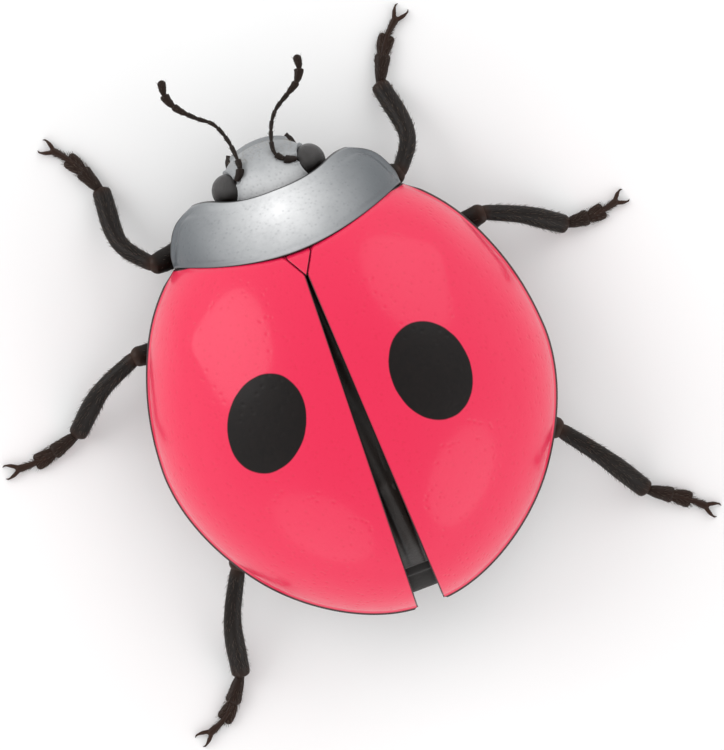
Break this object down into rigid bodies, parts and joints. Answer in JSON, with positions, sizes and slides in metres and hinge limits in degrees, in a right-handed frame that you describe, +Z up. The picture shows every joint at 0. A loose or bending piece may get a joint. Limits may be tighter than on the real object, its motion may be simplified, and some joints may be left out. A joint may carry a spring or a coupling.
{
  "type": "two-spot ladybird",
  "caption": "Life-size ladybird standing on its feet, domed red wing cases slightly parted and each with a black spot, grey head and shield, black legs and feelers.",
  "frame": {"origin": "on the floor, under the middle of the whole animal's plan, feelers and feet included", "axes": "+Z up, head towards -Y, the animal's left towards +X"},
  "size_m": [0.0072, 0.0068, 0.0025],
  "materials": {
    "wing_case": "glossy, finely pitted horny shell in pinkish red, one black spot on each wing case",
    "shield": "satin slate grey horny shell, finely pitted, paler on its crown",
    "underside": "satin near-black plates with pits and short pale hairs",
    "eye": "glossy black facets",
    "wing": "folded smoky membrane with darker veins",
    "limb": "near-black brown, satin, with short hairs"
  },
  "bodies": {
    "root": {"elytron_left": "wing_case", "elytron_right": "wing_case", "scutellum": "wing_case", "pronotum": "shield", "head": "shield", "labrum": "shield", "prosternum": "underside", "mesothorax": "underside", "metathorax": "underside", "abdomen": "underside", "mandible_left": "underside", "mandible_right": "underside", "eye_left": "eye", "eye_right": "eye", "hind_wing_left": "wing", "hind_wing_right": "wing", "antenna_left": "limb", "antenna_right": "limb", "palp_left": "limb", "palp_right": "limb", "fore_coxa_left": "limb", "fore_coxa_right": "limb", "fore_femur_left": "limb", "fore_femur_right": "limb", "fore_tibia_left": "limb", "fore_tibia_right": "limb", "fore_tarsus_left": "limb", "fore_tarsus_right": "limb", "mid_coxa_left": "limb", "mid_coxa_right": "limb", "mid_femur_left": "limb", "mid_femur_right": "limb", "mid_tibia_left": "limb", "mid_tibia_right": "limb", "mid_tarsus_left": "limb", "mid_tarsus_right": "limb", "hind_coxa_left": "limb", "hind_coxa_right": "limb", "hind_femur_left": "limb", "hind_femur_right": "limb", "hind_tibia_left": "limb", "hind_tibia_right": "limb", "hind_tarsus_left": "limb", "hind_tarsus_right": "limb"}
  },
  "joints": []
}
